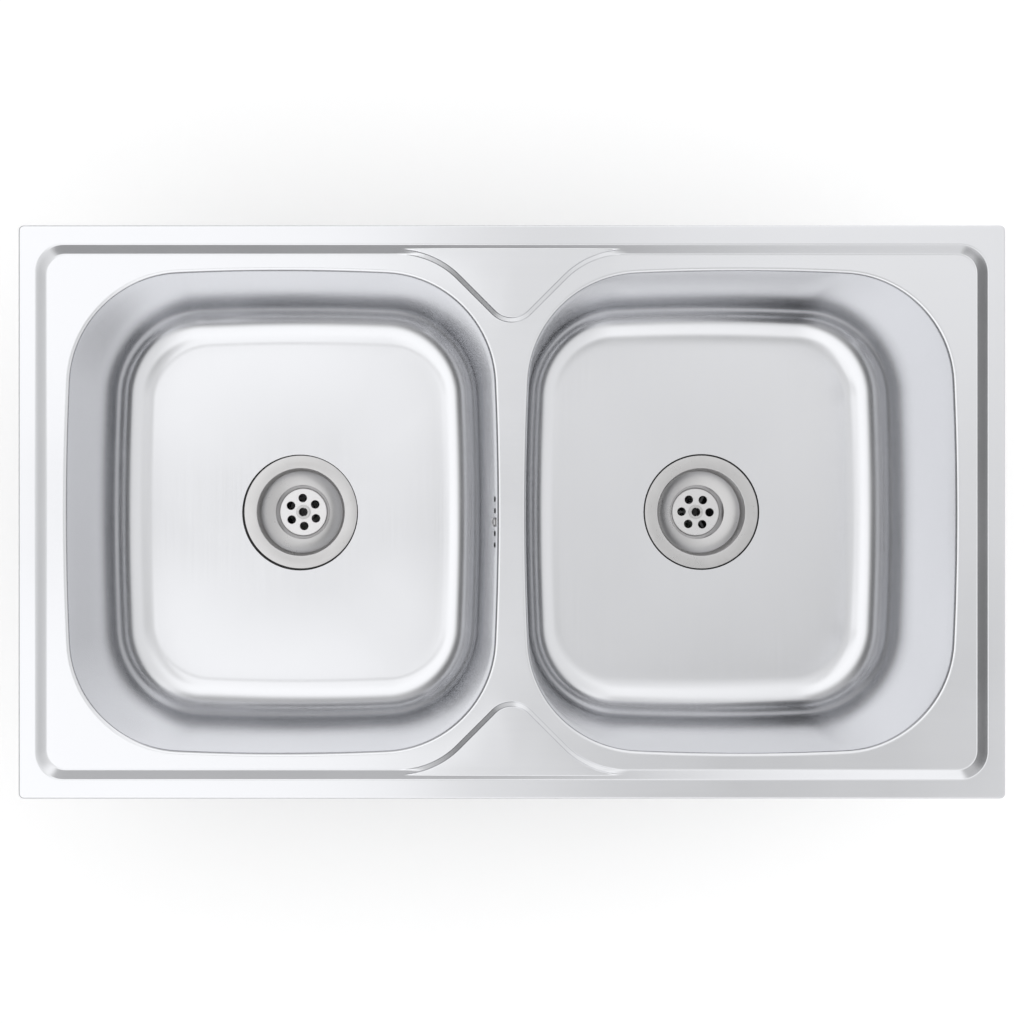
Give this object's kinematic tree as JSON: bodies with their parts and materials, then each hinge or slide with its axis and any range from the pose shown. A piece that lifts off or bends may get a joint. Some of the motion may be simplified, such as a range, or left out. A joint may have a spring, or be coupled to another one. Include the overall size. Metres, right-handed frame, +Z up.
{
  "type": "double bowl kitchen sink",
  "caption": "Inset stainless steel kitchen sink with two bowls side by side, strainer wastes, an overflow and swing-out worktop clips.",
  "frame": {"origin": "centre of the worktop cut-out, on the worktop surface, which is the underside of the foam seal", "axes": "+X along the sink to its right bowl, +Y to the back, +Z up"},
  "size_m": [0.86, 0.5, 0.224],
  "materials": {
    "brushed_stainless": "satin, brushed along the sink",
    "polished_stainless": "pressed and lightly polished",
    "plated_steel": "zinc plated",
    "black_rubber": "matt moulded rubber",
    "grey_foam": "closed-cell foam tape",
    "bitumen_pad": "matt, grained",
    "black_plastic": "moulded polypropylene",
    "brass": "turned"
  },
  "bodies": {
    "root": {"deck_plate": "brushed_stainless", "rim_seal": "grey_foam", "left_bowl": "brushed_stainless", "right_bowl": "brushed_stainless", "left_sound_pad": "bitumen_pad", "right_sound_pad": "bitumen_pad", "left_strainer_cup": "polished_stainless", "left_flange_seal": "black_rubber", "left_sieve_plate": "polished_stainless", "left_centre_bolt": "polished_stainless", "left_threaded_insert": "brass", "left_body_gasket": "black_rubber", "left_waste_body": "black_plastic", "right_strainer_cup": "polished_stainless", "right_flange_seal": "black_rubber", "right_sieve_plate": "polished_stainless", "right_centre_bolt": "polished_stainless", "right_threaded_insert": "brass", "right_body_gasket": "black_rubber", "right_waste_body": "black_plastic", "overflow_seal": "black_rubber", "overflow_housing": "black_plastic", "overflow_screw": "polished_stainless", "overflow_hose": "black_plastic", "upper_hose_clip": "plated_steel", "lower_hose_clip": "plated_steel", "front_left_clip_bracket": "plated_steel", "front_centre_clip_bracket": "plated_steel", "front_right_clip_bracket": "plated_steel", "back_left_clip_bracket": "plated_steel", "back_centre_clip_bracket": "plated_steel", "back_right_clip_bracket": "plated_steel", "left_side_clip_bracket": "plated_steel", "right_side_clip_bracket": "plated_steel"},
    "front_left_jaw": {"front_left_clip_jaw": "plated_steel"},
    "front_left_screw": {"front_left_clip_screw": "plated_steel"},
    "front_centre_jaw": {"front_centre_clip_jaw": "plated_steel"},
    "front_centre_screw": {"front_centre_clip_screw": "plated_steel"},
    "front_right_jaw": {"front_right_clip_jaw": "plated_steel"},
    "front_right_screw": {"front_right_clip_screw": "plated_steel"},
    "back_left_jaw": {"back_left_clip_jaw": "plated_steel"},
    "back_left_screw": {"back_left_clip_screw": "plated_steel"},
    "back_centre_jaw": {"back_centre_clip_jaw": "plated_steel"},
    "back_centre_screw": {"back_centre_clip_screw": "plated_steel"},
    "back_right_jaw": {"back_right_clip_jaw": "plated_steel"},
    "back_right_screw": {"back_right_clip_screw": "plated_steel"},
    "left_side_jaw": {"left_side_clip_jaw": "plated_steel"},
    "left_side_screw": {"left_side_clip_screw": "plated_steel"},
    "right_side_jaw": {"right_side_clip_jaw": "plated_steel"},
    "right_side_screw": {"right_side_clip_screw": "plated_steel"}
  },
  "joints": [
    {"name": "front_left_swing", "type": "hinge", "parent": "root", "child": "front_left_jaw", "pos_m": [-0.345, -0.2205, -0.048], "axis": [-1, 0, 0], "range_deg": [0, 90]},
    {"name": "front_left_clamp", "type": "slide", "parent": "front_left_jaw", "child": "front_left_screw", "axis": [0, -1, 0], "range_m": [0, 0.009]},
    {"name": "front_centre_swing", "type": "hinge", "parent": "root", "child": "front_centre_jaw", "pos_m": [0, -0.2205, -0.048], "axis": [-1, 0, 0], "range_deg": [0, 90]},
    {"name": "front_centre_clamp", "type": "slide", "parent": "front_centre_jaw", "child": "front_centre_screw", "axis": [0, -1, 0], "range_m": [0, 0.009]},
    {"name": "front_right_swing", "type": "hinge", "parent": "root", "child": "front_right_jaw", "pos_m": [0.345, -0.2205, -0.048], "axis": [-1, 0, 0], "range_deg": [0, 90]},
    {"name": "front_right_clamp", "type": "slide", "parent": "front_right_jaw", "child": "front_right_screw", "axis": [0, -1, 0], "range_m": [0, 0.009]},
    {"name": "back_left_swing", "type": "hinge", "parent": "root", "child": "back_left_jaw", "pos_m": [-0.345, 0.2205, -0.048], "axis": [1, 0, 0], "range_deg": [0, 90]},
    {"name": "back_left_clamp", "type": "slide", "parent": "back_left_jaw", "child": "back_left_screw", "axis": [0, 1, 0], "range_m": [0, 0.009]},
    {"name": "back_centre_swing", "type": "hinge", "parent": "root", "child": "back_centre_jaw", "pos_m": [0, 0.2205, -0.048], "axis": [1, 0, 0], "range_deg": [0, 90]},
    {"name": "back_centre_clamp", "type": "slide", "parent": "back_centre_jaw", "child": "back_centre_screw", "axis": [0, 1, 0], "range_m": [0, 0.009]},
    {"name": "back_right_swing", "type": "hinge", "parent": "root", "child": "back_right_jaw", "pos_m": [0.345, 0.2205, -0.048], "axis": [1, 0, 0], "range_deg": [0, 90]},
    {"name": "back_right_clamp", "type": "slide", "parent": "back_right_jaw", "child": "back_right_screw", "axis": [0, 1, 0], "range_m": [0, 0.009]},
    {"name": "left_side_swing", "type": "hinge", "parent": "root", "child": "left_side_jaw", "pos_m": [-0.4023, 0, -0.048], "axis": [0, 1, 0], "range_deg": [0, 90]},
    {"name": "left_side_clamp", "type": "slide", "parent": "left_side_jaw", "child": "left_side_screw", "axis": [-1, 0, 0], "range_m": [0, 0.009]},
    {"name": "right_side_swing", "type": "hinge", "parent": "root", "child": "right_side_jaw", "pos_m": [0.4023, 0, -0.048], "axis": [0, -1, 0], "range_deg": [0, 90]},
    {"name": "right_side_clamp", "type": "slide", "parent": "right_side_jaw", "child": "right_side_screw", "axis": [1, 0, 0], "range_m": [0, 0.009]}
  ]
}
